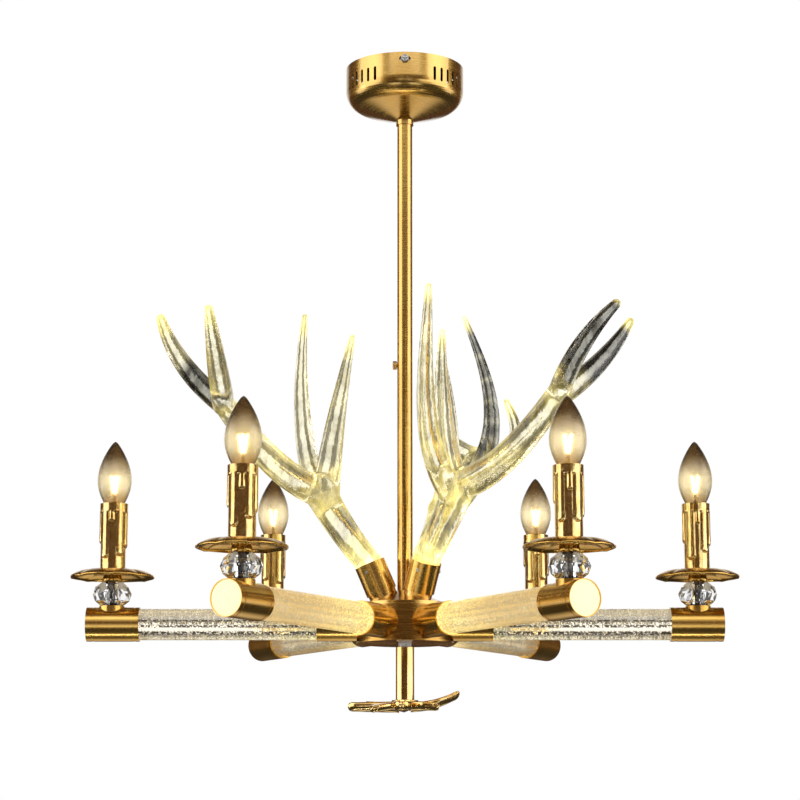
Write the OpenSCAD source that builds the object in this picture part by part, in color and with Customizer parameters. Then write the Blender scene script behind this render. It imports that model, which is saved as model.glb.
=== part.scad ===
/* [Overall] */
// Diameter over the outer ends of the six arms
overall_d = 650; // [600:1:760]
// Height from the ceiling down to the axis of the arms
arm_drop = 591; // [480:1:900]

/* [Canopy] */
// Outer diameter of the ceiling canopy
canopy_d = 125; // [120:1:160]
// Height of the ceiling canopy
canopy_h = 56; // [50:1:80]
// Radius of the canopy's round lower corner
canopy_corner = 20; // [12:1:28]
// Slope of the canopy's floor from that corner to the collar
canopy_slope = 17.5; // [4:0.5:24]
// Wall of the spun canopy
canopy_wall = 1.2; // [0.8:0.1:2]
// Width of one vent slot
vent_w = 3.2; // [1.5:0.1:4]
// Height of one vent slot
vent_h = 15; // [8:1:18]
// Vent slots in one group
vent_count = 6; // [2:1:7]
// Angle from one vent slot to the next
vent_pitch = 8; // [6:0.5:9]
// Outer diameter of the collar that carries the canopy
collar_d = 18.5; // [18:0.5:26]
// Height of the collar that carries the canopy
collar_h = 5; // [4:0.5:10]

/* [Ceiling bracket] */
// Width of the steel strap
strap_w = 25; // [20:1:32]
// Thickness of the steel strap
strap_t = 2.5; // [2:0.1:4]
// Distance between the two ceiling screw slots
strap_screw_span = 70; // [60:1:76]
// Width of a ceiling screw slot
strap_slot_w = 5; // [4:0.5:6]
// Length of a ceiling screw slot
strap_slot_l = 12; // [8:1:14]
// Depth of the canopy screws below the ceiling
canopy_screw_drop = 7.5; // [6:0.5:9]

/* [Stem] */
// Outer diameter of the stem
stem_d = 16; // [16:0.5:18]
// Wall of the stem
stem_wall = 1.1; // [0.8:0.1:1.5]
// Height of the side screw above the arms
stem_screw_rise = 270; // [120:1:340]
// Diameter of the side screw's head
stem_screw_d = 9; // [6:0.5:12]
// Height of the side screw's head
stem_screw_head = 4.5; // [3:0.5:7]

/* [Hub] */
// Diameter of the hub drum
hub_d = 94; // [90:1:98]
// Diameter of the hub's bottom plate
hub_plate_d = 99; // [98:1:112]
// Thickness of the hub's bottom plate
hub_plate_t = 2; // [1.5:0.5:4]
// Height of the hub cover's rim
cover_rim_h = 3.5; // [2:0.5:6]
// Height of the hub cover above its rim
cover_rise = 13; // [11:0.5:15]

/* [Arms] */
// Diameter of an arm's acrylic rod
rod_d = 32; // [28:0.5:32]
// Radius at which the rod comes out of its inner socket
socket_end_r = 90; // [80:1:110]
// Outer diameter of the inner socket
socket_d = 34.5; // [34.5:0.1:35]
// Outer diameter of the end cap
cap_d = 35; // [35:0.1:38]
// Length of the end cap
cap_l = 54; // [50:1:70]
// Depth to which a rod goes into its socket and its cap
rod_grip = 16; // [10:1:18]
// Thickness of the lit disc in the cap's end
end_disc_t = 4; // [3:0.5:6]

/* [Candles] */
// Distance from the arm's outer end to the candle's axis
candle_inset = 25; // [24:1:30]
// Diameter of the threaded rod through ball and pan
candle_rod_d = 9.8; // [8:0.1:10]
// Diameter of the seat under the crystal ball
ball_seat_d = 26; // [22:1:30]
// Height of the seat's top above the arm's axis
ball_seat_rise = 18.5; // [18:0.5:22]
// Diameter of the crystal ball
ball_d = 40; // [32:1:46]
// Diameter of the crystal ball's flat ends
ball_flat_d = 22; // [18:1:26]
// Height of the crystal ball
ball_h = 24.5; // [20:0.5:30]
// Diameter of the drip pan
pan_d = 86; // [70:1:96]
// Height of the drip pan with its neck
pan_h = 12.5; // [11:0.5:14]
// Fall of the pan's top from its shoulder to its rim
pan_fall = 4.5; // [3:0.5:6]
// Height of the pan's turned-down lip
pan_lip = 2.4; // [2:0.2:3.6]
// Sheet thickness of the drip pan
pan_t = 1.6; // [1.2:0.1:2.2]
// Outer diameter of the candle sleeve
sleeve_d = 26; // [26:0.5:30]
// Wall of the candle sleeve
sleeve_wall = 1; // [0.7:0.1:1.2]
// Height of the sleeve's top above the arm's axis
sleeve_top_rise = 124; // [120:1:150]
// Wax drips round one sleeve
drip_count = 7; // [4:1:8]

/* [Lamps] */
// Largest diameter of the flame lamp's glass
lamp_d = 35; // [32:0.5:37]
// Length of the lamp's glass
lamp_glass_l = 68; // [62:1:75]
// Diameter of the lamp's screw base
lamp_base_d = 13.8; // [13.4:0.1:14]
// Length of the lamp's screw base
lamp_base_l = 25; // [22:1:27]

/* [Antlers] */
// Turn of the antler cups past the arms' directions
antler_turn = 6; // [0:1:12]
// Lean of an antler cup away from the stem
cup_tilt = 23; // [15:1:24]
// Outer diameter of an antler cup
cup_d = 32; // [31:0.5:33]
// Length of an antler cup
cup_l = 31.5; // [28:0.5:40]
// Wall of an antler cup
cup_wall = 1.8; // [1.5:0.1:2.2]
// Distance from the stem's axis to the centre of a cup's foot
cup_foot_r = 24; // [24:0.5:26]
// Height of the centre of a cup's foot above the arms
cup_foot_rise = 33; // [32:0.5:36]
// Size of the antlers against the measured ones
antler_size = 1; // [0.85:0.01:1.05]

/* [Finial] */
// Outer diameter of the finial tube
finial_d = 19; // [18:0.5:24]
// Length of the finial tube
finial_l = 53; // [40:1:80]
// Gap below the hub plate in which the thread shows
finial_gap = 4; // [2:0.5:6]
// Width of the cast leaf ornament
ornament_w = 112; // [90:1:130]

/* [Hidden] */
$fn = 48;
eps = 0.01;
fit = 0.05;
slide_gap = 0.3;
z_arm = -arm_drop;
arm_count = 6;
arm_step = 360 / arm_count;
stem_r = stem_d / 2;
stem_bore_r = stem_r - stem_wall;
canopy_r = canopy_d / 2;
canopy_in_r = canopy_r - canopy_wall;
vent_top = 13;
vent_group_angle = 50;
canopy_screw_r = 2;
canopy_screw_head_r = 4;
canopy_screw_head_t = 3;
canopy_slot_w = 12;
canopy_slot_h = 5.4;
strap_end_r = canopy_in_r - 3;
tab_w = 14;
tab_drop = 14;
hang_r = 5;
hang_nut_r = 9;
hang_nut_h = 6;
stem_top = -20;
stem_bush_h = 10;
driver_size = [22, 36, 18];
terminal_size = [18, 30, 12];
inner_part_r = 12;
hub_h = socket_d + 0.5;
hub_r = hub_d / 2;
hub_cavity_r = hub_r - 12;
cover_r = hub_r - 1;
cover_top_r = stem_r + 3;
cover_wall = 3;
nipple_r = stem_bore_r - fit;
nipple_grip = 18;
nipple_bore_r = 4;
hub_nut_r = 12;
hub_nut_h = 6;
plate_z = z_arm - hub_h / 2;
finial_top = plate_z - hub_plate_t - finial_gap;
finial_bottom = finial_top - finial_l;
rod_r = rod_d / 2;
socket_spigot_r = 13;
socket_spigot_l = 12;
socket_floor = 6;
arm_end_r = overall_d / 2;
cap_start_r = arm_end_r - cap_l;
disc_rim = 0.6;
disc_r = cap_d / 2 - disc_rim - fit;
disc_bulge = 1.6;
cap_light_r = 12;
cap_groove = 0.6;
groove_w = 1.2;
outer_groove_inset = 6.5;
inner_groove_inset = 5;
led_t = 5;
candle_r = arm_end_r - candle_inset;
candle_rod_r = candle_rod_d / 2;
ball_z = z_arm + ball_seat_rise;
pan_z = ball_z + ball_h;
pan_neck_r = 10;
sleeve_r = sleeve_d / 2;
sleeve_in_r = sleeve_r - sleeve_wall;
pan_shoulder_r = sleeve_r + 12;
sleeve_z = pan_z + pan_h;
sleeve_top = z_arm + sleeve_top_rise;
sleeve_ring_h = 5;
lamp_z = sleeve_top - 2.5;
lamp_contact_l = 3;
holder_r = sleeve_in_r - 1;
holder_floor = 8;
holder_z = lamp_z - lamp_base_l - lamp_contact_l - holder_floor;
cup_r = cup_d / 2;
cup_floor = 3;
spigot_r = cup_r - cup_wall - fit;
spigot_l = 20;
cup_screw_r = 1.5;
cup_screw_inset = 8;
cup_wire_r = 4;
limb_steps = 9;
limb_sides = 12;
leaf_root = 6;

// Trunk, beam and the four tines of an antler, in the cup's own frame: the path's
// control points, then the radius at the root, half way and at the tip.
// X leans out from the stem, Z runs along the cup's axis from its mouth.
ANTLER = [
    [[[0, 0, 0], [14, 0, 40], [19, 3, 85]], [14, 13.5, 17]],
    [[[16, 3, 84], [59, 24, 112], [80, 49, 203]], [16, 14.5, 11.5]],
    [[[80, 49, 200], [109, 31, 257], [108, 70, 303]], [11, 11, 5]],
    [[[81, 49, 198], [76, 100, 235], [66, 129, 283]], [11.5, 11.5, 4.5]],
    [[[19, 3, 70], [20, -60, 120], [0, -56, 190], [-44, -45, 272]], [13, 11, 3.5]],
    [[[19, 3, 75], [-13, -15, 135], [-74, 7, 224]], [15, 11.5, 3.5]],
];
// The antler behind the stem, whose outer tines curl back.
BACK_ANTLER = [
    [[[0, 0, 0], [16, -3, 40], [24, -6, 85]], [14, 13.5, 17]],
    [[[18, -5, 75], [50, 0, 115], [93, -3, 193]], [15, 14, 11]],
    [[[93, -3, 193], [152, -44, 222], [118, -14, 279]], [10, 10, 4]],
    [[[90, 0, 190], [85, 50, 210], [92, 85, 290]], [11, 10, 3.5]],
    [[[22, -5, 75], [15, -67, 135], [5, -67, 190], [-47, -25, 281]], [14, 10.5, 3]],
    [[[22, -5, 75], [-10, -28, 140], [-71, -15, 226]], [14, 10, 3]],
];

// Leaves of the finial's ornament: turn round the stem's axis, height above the boss's
// foot, then length, width and rise as shares of half the ornament's width, the
// thickness, and whether the tip is round.
LEAVES = [
    [180, -2.2, 0.93, 0.36, 0, 10, true],
    [0, -2.2, 0.89, 0.32, 0.24, 9, false],
    [222, -2, 0.72, 0.36, -0.1, 8, true],
    [150, -1, 0.72, 0.3, 0.04, 8, true],
    [322, -1.4, 0.66, 0.29, -0.04, 9, false],
    [262, -2.2, 0.45, 0.36, 0, 10, true],
    [80, -1, 0.5, 0.36, 0.04, 8, true],
    [35, -1, 0.75, 0.29, 0.09, 8, false],
];

function unit(v) = v / norm(v);
function blend(p, q, t) = p * (1 - t) + q * t;

// Point at t on a Bezier curve with any number of control points
function curve(points, t) =
    len(points) == 1
        ? points[0]
        : curve([for (i = [0:len(points) - 2]) blend(points[i], points[i + 1], t)], t);

function curve_slope(points, t) = unit(curve(points, min(t + 0.01, 1)) - curve(points, max(t - 0.01, 0)));

// Ring of points round a centre, square to the given direction
function ring(centre, along, radius, sides) =
    let (across = unit(cross(along, [0, 1, 0])), up = cross(along, across))
    [for (k = [0:sides - 1]) centre
        + across * radius * cos(360 * k / sides)
        + up * radius * sin(360 * k / sides)];

// Round tapering limb along a curve, closed by a flat root and a domed tip
module limb(path, radii) {
    tip = curve(path, 1);
    tip_dir = curve_slope(path, 1);
    tip_r = radii[len(radii) - 1];
    rings = [
        for (i = [0:limb_steps])
            let (t = i / limb_steps)
            ring(curve(path, t), curve_slope(path, t), curve(radii, t), limb_sides),
        ring(tip + tip_dir * tip_r * 0.6, tip_dir, tip_r * 0.7, limb_sides),
    ];
    points = [
        for (one = rings) each one,
        path[0],
        tip + tip_dir * tip_r,
    ];
    root = len(points) - 2;
    apex = len(points) - 1;
    last = (len(rings) - 1) * limb_sides;
    faces = [
        for (i = [0:len(rings) - 2], k = [0:limb_sides - 1])
            let (a = i * limb_sides + k, b = i * limb_sides + (k + 1) % limb_sides)
            each [[a, a + limb_sides, b], [b, a + limb_sides, b + limb_sides]],
        for (k = [0:limb_sides - 1]) [root, k, (k + 1) % limb_sides],
        for (k = [0:limb_sides - 1]) [last + k, apex, last + (k + 1) % limb_sides],
    ];
    polyhedron(points, faces);
}

// Puts children at arm i with X along the arm and Z = 0 on the arms' axis
module on_arm(i) {
    rotate([0, 0, arm_step * (i - 1)]) translate([0, 0, z_arm]) children();
}

// Puts children at the candle of arm i with Z = 0 at the ceiling
module on_candle(i) {
    rotate([0, 0, arm_step * (i - 1)]) translate([candle_r, 0, 0]) children();
}

// Puts children in the frame of antler cup i, at the centre of its foot
module in_cup(i) {
    rotate([0, 0, 180 + 120 * (i - 1) + antler_turn])
        translate([cup_foot_r, 0, z_arm + cup_foot_rise])
            rotate([0, cup_tilt, 0]) children();
}

// Cylinder along X from x0 to x1
module bar_x(x0, x1, r) {
    translate([x0, 0, 0]) rotate([0, 90, 0]) cylinder(h = x1 - x0, r = r);
}

module hex_nut(z, h, r, bore) {
    translate([0, 0, z]) difference() {
        cylinder(h = h, r = r, $fn = 6);
        translate([0, 0, -1]) cylinder(h = h + 2, r = bore);
    }
}

// Steel strap on the ceiling, with a tab bent down at each end for a canopy screw
module ceiling_bracket() {
    color("silver") difference() {
        union() {
            translate([-strap_w / 2, -strap_end_r, -strap_t])
                cube([strap_w, 2 * strap_end_r, strap_t]);
            for (side = [-1, 1])
                translate([-tab_w / 2, side * (strap_end_r - strap_t / 2) - strap_t / 2, -tab_drop])
                    cube([tab_w, strap_t, tab_drop]);
        }
        translate([0, 0, -strap_t - 1]) cylinder(h = strap_t + 2, r = hang_r + fit);
        for (side = [-1, 1]) translate([0, side * strap_screw_span / 2, -strap_t - 1]) {
            for (end = [-1, 1])
                translate([0, end * (strap_slot_l - strap_slot_w) / 2, 0])
                    cylinder(h = strap_t + 2, r = strap_slot_w / 2);
            translate([-strap_slot_w / 2, -(strap_slot_l - strap_slot_w) / 2, 0])
                cube([strap_slot_w, strap_slot_l - strap_slot_w, strap_t + 2]);
        }
        for (side = [-1, 1]) translate([0, side * strap_end_r, -canopy_screw_drop])
            rotate([90, 0, 0]) cylinder(h = 4 * strap_t, r = canopy_screw_r, center = true);
    }
}

// Lock nut under the strap and clamp nut on the top of the stem
module hang_nuts() {
    color("silver") {
        hex_nut(-strap_t - hang_nut_h, hang_nut_h, hang_nut_r, hang_r + fit);
        hex_nut(stem_top, hang_nut_h, hang_nut_r, hang_r + fit);
    }
}

// Hollow threaded tube that hangs the stem from the strap
module hang_nipple() {
    color("silver") difference() {
        translate([0, 0, stem_top - stem_bush_h]) cylinder(h = -stem_top + stem_bush_h, r = hang_r);
        translate([0, 0, stem_top - stem_bush_h - 1])
            cylinder(h = -stem_top + stem_bush_h + 2, r = hang_r - 1.5);
    }
}

// Driver for the lit antlers and arms, held under the strap
module led_driver() {
    color("white") translate([-driver_size[0] / 2, inner_part_r, -strap_t - driver_size[2]])
        cube(driver_size);
}

// Terminal block with its three wire ways
module terminal_block() {
    pitch = terminal_size[1] / 3;
    color("white") difference() {
        translate([-terminal_size[0] / 2, -inner_part_r - terminal_size[1], -strap_t - terminal_size[2]])
            cube(terminal_size);
        for (k = [0:2])
            translate([0, -inner_part_r - pitch * (k + 0.5), -strap_t - terminal_size[2] / 2])
                rotate([0, 90, 0]) cylinder(h = terminal_size[0] + 2, r = 1.8, center = true);
    }
}

// Outline of the canopy from its axis out, shrunk inward by the given wall
module canopy_outline(inward) {
    r = canopy_r - inward;
    corner = canopy_corner - inward;
    foot_r = collar_d / 2 - 0.5;
    foot_z = -canopy_h + inward / cos(canopy_slope);
    centre_r = r - corner;
    centre_z = foot_z + (centre_r - foot_r) * tan(canopy_slope) + corner / cos(canopy_slope);
    polygon([
        [0, 0],
        [r, 0],
        for (k = [0:12]) let (a = (90 - canopy_slope) * k / 12)
            [centre_r + corner * cos(a), centre_z - corner * sin(a)],
        [foot_r, foot_z],
        [0, foot_z],
    ]);
}

module vent_slot() {
    for (z = [-vent_top - vent_w / 2, -vent_top - vent_h + vent_w / 2])
        translate([0, 0, z]) bar_x(canopy_in_r - 4, canopy_r + 4, vent_w / 2);
    translate([canopy_in_r - 4, -vent_w / 2, -vent_top - vent_h + vent_w / 2])
        cube([canopy_wall + 8, vent_w, vent_h - vent_w]);
}

// Spun brass bowl with vent slots and two oblong screw holes in its wall
module canopy() {
    color("goldenrod") difference() {
        rotate_extrude($fn = 96) canopy_outline(0);
        translate([0, 0, eps]) rotate_extrude($fn = 96) canopy_outline(canopy_wall);
        translate([0, 0, -canopy_h - 1]) cylinder(h = canopy_h, r = stem_r + slide_gap);
        for (side = [-90, 90], lean = [-1, 1], k = [0:vent_count - 1])
            rotate([0, 0, side + lean * (vent_group_angle + vent_pitch * (k - (vent_count - 1) / 2))])
                vent_slot();
        for (side = [-90, 90]) rotate([0, 0, side]) translate([0, 0, -canopy_screw_drop]) {
            for (end = [-1, 1])
                translate([0, end * (canopy_slot_w - canopy_slot_h) / 2, 0])
                    bar_x(canopy_in_r - 4, canopy_r + 4, canopy_slot_h / 2);
            translate([canopy_in_r - 4, -(canopy_slot_w - canopy_slot_h) / 2, -canopy_slot_h / 2])
                cube([canopy_wall + 8, canopy_slot_w - canopy_slot_h, canopy_slot_h]);
        }
    }
}

module canopy_collar() {
    color("goldenrod") translate([0, 0, -canopy_h - collar_h]) difference() {
        cylinder(h = collar_h, d = collar_d);
        translate([0, 0, -1]) cylinder(h = collar_h + 2, r = stem_r + slide_gap);
    }
}

// Knurled-head screw whose shank ends just short of the strap's tab
module canopy_screw(angle) {
    color("silver") rotate([0, 0, angle]) translate([0, 0, -canopy_screw_drop]) {
        bar_x(strap_end_r + slide_gap, canopy_r + slide_gap, canopy_screw_r);
        bar_x(canopy_r + slide_gap, canopy_r + slide_gap + canopy_screw_head_t, canopy_screw_head_r);
    }
}

module canopy_screw_front() canopy_screw(-90);
module canopy_screw_back() canopy_screw(90);

// Long tube with a threaded bush in its top and a small hole for the side screw
module stem_tube() {
    color("goldenrod") difference() {
        translate([0, 0, plate_z]) cylinder(h = stem_top - plate_z, r = stem_r);
        translate([0, 0, plate_z - 1])
            cylinder(h = stem_top - stem_bush_h - plate_z + 1, r = stem_bore_r);
        translate([0, 0, stem_top - stem_bush_h - 1]) cylinder(h = stem_bush_h + 2, r = hang_r + fit);
        translate([0, 0, z_arm + stem_screw_rise]) bar_x(-stem_d, 0, canopy_screw_r + fit);
    }
}

module stem_screw() {
    color("goldenrod") translate([0, 0, z_arm + stem_screw_rise]) {
        bar_x(-stem_r - slide_gap, -stem_bore_r + 1, canopy_screw_r);
        bar_x(-stem_r - slide_gap - stem_screw_head, -stem_r - slide_gap, stem_screw_d / 2);
    }
}

// Turned brass drum that takes the six arm sockets
module hub_drum() {
    color("saddlebrown") difference() {
        translate([0, 0, plate_z]) cylinder(h = hub_h, r = hub_r, $fn = 96);
        translate([0, 0, plate_z + 3]) cylinder(h = hub_h, r = hub_cavity_r);
        translate([0, 0, plate_z - 1]) cylinder(h = 5, r = stem_r + fit);
        for (i = [1:arm_count]) on_arm(i) bar_x(hub_cavity_r - 5, hub_r + 1, socket_spigot_r + fit);
    }
}

// Shallow cone over the drum, with a sloping seat for each antler cup
module hub_cover() {
    base = z_arm + hub_h / 2;
    top = base + cover_rim_h + cover_rise;
    color("goldenrod") difference() {
        union() {
            translate([0, 0, base]) rotate_extrude($fn = 96) polygon([
                [0, 0],
                [cover_r, 0],
                [cover_r, cover_rim_h],
                [cover_r - 3, cover_rim_h],
                [cover_top_r, cover_rim_h + cover_rise],
                [0, cover_rim_h + cover_rise],
            ]);
            intersection() {
                for (i = [1:3]) in_cup(i) translate([0, 0, -cup_l]) cylinder(h = cup_l, r = cup_r - 1.5);
                translate([0, 0, base]) cylinder(h = cup_l, r = cover_r);
            }
        }
        translate([0, 0, base]) rotate_extrude() polygon([
            [0, -eps],
            [cover_r - cover_wall, -eps],
            [cover_top_r, cover_rise - cover_wall],
            [0, cover_rise - cover_wall],
        ]);
        translate([0, 0, base - 1]) cylinder(h = cup_l + hub_h, r = stem_r + fit);
        for (i = [1:3]) in_cup(i) translate([0, 0, -cup_l]) cylinder(h = cup_l + 1, r = cup_wire_r);
    }
}

module hub_plate() {
    color("goldenrod") difference() {
        translate([0, 0, plate_z - hub_plate_t]) cylinder(h = hub_plate_t, r = hub_plate_d / 2, $fn = 96);
        translate([0, 0, plate_z - hub_plate_t - 1]) cylinder(h = hub_plate_t + 2, r = nipple_r + fit);
    }
}

// Nut that clamps the drum's floor round the foot of the stem
module hub_nut() {
    color("silver") hex_nut(plate_z + 3, hub_nut_h, hub_nut_r, stem_r + fit);
}

// Threaded tube from the stem's foot down into the finial
module finial_nipple() {
    low = finial_top - nipple_grip;
    high = plate_z + nipple_grip;
    color("silver") translate([0, 0, low]) difference() {
        cylinder(h = high - low, r = nipple_r);
        translate([0, 0, -1]) cylinder(h = high - low + 2, r = nipple_bore_r);
    }
}

module finial_tube() {
    color("gold") difference() {
        translate([0, 0, finial_bottom]) cylinder(h = finial_l, d = finial_d);
        translate([0, 0, finial_top - nipple_grip - 2]) cylinder(h = nipple_grip + 3, r = nipple_r + fit);
    }
}

// Cast leaf: a cupped, pointed blade along X that rises by lift towards its tip
module leaf(length, width, lift, thick, round_tip) {
    along = 10;
    across = 6;
    function half_width(u) = width / 2 * (round_tip
        ? sqrt(max(0.04, 1 - pow(2 * u - 1, 2)))
        : 0.15 + 0.85 * sin(180 * pow(u, 0.7)) * (1 - 0.3 * u));
    function skin_point(u, v, side) = [
        length * u,
        half_width(u) * v,
        lift * u * u + 1.5 * v * v + side * thick / 2 * (1.2 - v * v) * (1.12 - 0.72 * u),
    ];
    row = across + 1;
    count = (along + 1) * row;
    points = [
        for (side = [1, -1], i = [0:along], k = [0:across])
            skin_point(i / along, 2 * k / across - 1, side),
    ];
    faces = [
        for (i = [0:along - 1], k = [0:across - 1])
            let (a = i * row + k, b = a + row)
            each [[a, a + 1, b], [a + 1, b + 1, b], [count + a, count + b, count + a + 1],
                [count + a + 1, count + b, count + b + 1]],
        for (i = [0:along - 1], edge = [0, across])
            let (a = i * row + edge, b = a + row, flip = edge == 0)
            each flip
                ? [[a, b, count + a], [b, count + b, count + a]]
                : [[a, count + a, b], [b, count + a, count + b]],
        for (k = [0:across - 1], end = [0, along])
            let (a = end * row + k, flip = end == 0)
            each flip
                ? [[a, count + a, a + 1], [a + 1, count + a, count + a + 1]]
                : [[a, a + 1, count + a], [a + 1, count + a + 1, count + a]],
    ];
    polyhedron(points, faces);
}

// Cast gold spray of leaves under the finial tube
module finial_ornament() {
    half = ornament_w / 2;
    boss_h = 5;
    color("gold") translate([0, 0, finial_bottom - boss_h]) {
        cylinder(h = boss_h, r = finial_d / 2 + 4);
        for (one = LEAVES) rotate([0, 0, one[0]]) translate([leaf_root, 0, one[1]])
            leaf(half * one[2], half * one[3], half * one[4], one[5], one[6]);
    }
}

// Three brass cups on the hub cover
module antler_cups() {
    color("goldenrod") for (i = [1:3]) in_cup(i) difference() {
        cylinder(h = cup_l, r = cup_r);
        translate([0, 0, cup_floor]) cylinder(h = cup_l, r = spigot_r + fit);
        translate([0, 0, -1]) cylinder(h = cup_floor + 2, r = cup_wire_r);
        for (side = [-60, 60]) rotate([0, 0, side]) translate([0, 0, cup_l - cup_screw_inset])
            bar_x(0, cup_r + 1, cup_screw_r + fit);
    }
}

// Two grub screws in each cup
module antler_screws() {
    color("silver") for (i = [1:3], side = [-60, 60])
        in_cup(i) rotate([0, 0, side]) translate([0, 0, cup_l - cup_screw_inset])
            bar_x(spigot_r + 0.1, cup_r + 0.8, cup_screw_r);
}

module antler_leds() {
    color("lightyellow") for (i = [1:3]) in_cup(i) translate([0, 0, cup_floor])
        cylinder(h = cup_l - cup_floor - spigot_l, r = spigot_r - 1);
}

// Clear acrylic antler with a round spigot in its cup
module antler(i, limbs) {
    color("lightcyan") in_cup(i) {
        translate([0, 0, cup_l - spigot_l]) cylinder(h = spigot_l, r = spigot_r, $fn = 24);
        translate([0, 0, cup_l]) scale(antler_size) for (one = limbs) limb(one[0], one[1]);
    }
}

module antler_1() antler(1, ANTLER);
module antler_2() antler(2, ANTLER);
module antler_3() antler(3, BACK_ANTLER);

// Six brass sockets: a spigot in the drum, a floor with a wire way and a cup for the rod
module arm_sockets() {
    color("goldenrod") for (i = [1:arm_count]) difference() {
        on_arm(i) difference() {
            union() {
                bar_x(hub_r - 4, socket_end_r, socket_d / 2);
                bar_x(hub_r - socket_spigot_l, hub_r, socket_spigot_r);
            }
            bar_x(socket_end_r - rod_grip - led_t, socket_end_r + 1, rod_r + fit);
            bar_x(0, socket_end_r - rod_grip - led_t - socket_floor, socket_spigot_r - 2);
            bar_x(0, socket_end_r, cup_wire_r);
        }
        difference() {
            translate([0, 0, plate_z - 1]) cylinder(h = hub_h + 2, r = hub_r + fit, $fn = 96);
            on_arm(i) bar_x(0, hub_d, socket_spigot_r);
        }
    }
}

module arm_leds() {
    color("lightyellow") for (i = [1:arm_count]) on_arm(i)
        bar_x(socket_end_r - rod_grip - led_t, socket_end_r - rod_grip, rod_r - 1);
}

module arm_rod(i) {
    color("lightcyan") on_arm(i) bar_x(socket_end_r - rod_grip, cap_start_r + rod_grip, rod_r);
}

// End cap: pocket for the rod, light way, seat for the lit disc, two turned grooves
module arm_cap(i) {
    color("goldenrod") on_arm(i) difference() {
        union() {
            bar_x(cap_start_r, arm_end_r, cap_d / 2);
            translate([candle_r, 0, 0]) cylinder(h = ball_seat_rise, d = ball_seat_d);
        }
        bar_x(cap_start_r - 1, cap_start_r + rod_grip, rod_r + fit);
        bar_x(cap_start_r, arm_end_r, cap_light_r);
        bar_x(arm_end_r - end_disc_t, arm_end_r + 1, disc_r + fit);
        for (x = [arm_end_r - outer_groove_inset, cap_start_r + inner_groove_inset]) difference() {
            bar_x(x - groove_w / 2, x + groove_w / 2, cap_d / 2 + 1);
            bar_x(x - groove_w, x + groove_w, cap_d / 2 - cap_groove);
        }
        translate([candle_r, 0, 0]) cylinder(h = ball_seat_rise + 1, r = candle_rod_r + fit);
    }
}

// Frosted, slightly domed disc in each cap's end
module end_discs() {
    color("cornsilk") for (i = [1:arm_count]) on_arm(i) translate([arm_end_r - end_disc_t, 0, 0])
        rotate([0, 90, 0]) rotate_extrude() polygon([
            [0, 0],
            [disc_r, 0],
            for (a = [90:-15:0])
                [disc_r * sin(a), end_disc_t - disc_bulge + disc_bulge * cos(a)],
        ]);
}

// Cut crystal balls with a bore for the threaded rod
module crystal_balls() {
    flat_r = ball_flat_d / 2;
    color("white") for (i = [1:arm_count]) on_candle(i) translate([0, 0, ball_z]) rotate_extrude()
        polygon([
            [candle_rod_r + fit, 0],
            [flat_r, 0],
            [ball_d * 0.44, ball_h * 0.24],
            [ball_d / 2, ball_h * 0.42],
            [ball_d / 2, ball_h * 0.58],
            [ball_d * 0.44, ball_h * 0.76],
            [flat_r, ball_h],
            [candle_rod_r + fit, ball_h],
        ]);
}

// Threaded rods that clamp cap, ball, pan and lamp holder together
module candle_rods() {
    low = z_arm + cap_light_r - 4;
    color("silver") for (i = [1:arm_count]) on_candle(i)
        translate([0, 0, low]) cylinder(h = holder_z - low, r = candle_rod_r);
}

// Spun pan like a shallow bell: a neck on the ball, a flat top under the sleeve, a top
// that falls towards the rim and a lip turned down
module drip_pan(i) {
    r = pan_d / 2;
    lip_r = r - pan_t;
    color("goldenrod") on_candle(i) translate([0, 0, pan_z]) rotate_extrude($fn = 72) polygon([
        [candle_rod_r + fit, 0],
        [pan_neck_r, 0],
        [pan_neck_r, pan_h - pan_t],
        for (u = [0:0.25:1])
            [pan_shoulder_r + (lip_r - pan_shoulder_r) * u, pan_h - pan_t - pan_fall * u * u],
        [lip_r, pan_h - pan_fall - pan_lip],
        [r, pan_h - pan_fall - pan_lip],
        for (u = [1:-0.25:0])
            [pan_shoulder_r + (r - pan_shoulder_r) * u, pan_h - pan_fall * u * u],
        [candle_rod_r + fit, pan_h],
    ]);
}

// Polished sleeve with a thick top ring and wax drips run down its side
module candle_sleeve(i) {
    drip_r = 2.1;
    on_sleeve_r = sleeve_r - 0.9;
    color("gold") on_candle(i) difference() {
        union() {
            translate([0, 0, sleeve_z]) cylinder(h = sleeve_top - sleeve_z, r = sleeve_r);
            translate([0, 0, sleeve_top - sleeve_ring_h]) cylinder(h = sleeve_ring_h, r = sleeve_r + 1);
            for (k = [0:drip_count - 1])
                let (run = 14 + 9 * (k * 3 % 5))
                rotate([0, 0, 360 * k / drip_count])
                    translate([on_sleeve_r, 0, sleeve_top - sleeve_ring_h - run]) {
                        cylinder(h = run + 1, r = drip_r, $fn = 16);
                        sphere(r = drip_r + 0.4, $fn = 16);
                    }
        }
        translate([0, 0, sleeve_z - 1]) cylinder(h = sleeve_top - sleeve_z + 2, r = sleeve_in_r);
    }
}

// Candle lamp holders inside the sleeves
module lamp_holders() {
    color("white") for (i = [1:arm_count]) on_candle(i) difference() {
        translate([0, 0, holder_z]) cylinder(h = lamp_z - 1 - holder_z, r = holder_r);
        translate([0, 0, holder_z + holder_floor])
            cylinder(h = lamp_z - holder_z, r = lamp_base_d / 2 + slide_gap);
    }
}

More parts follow.
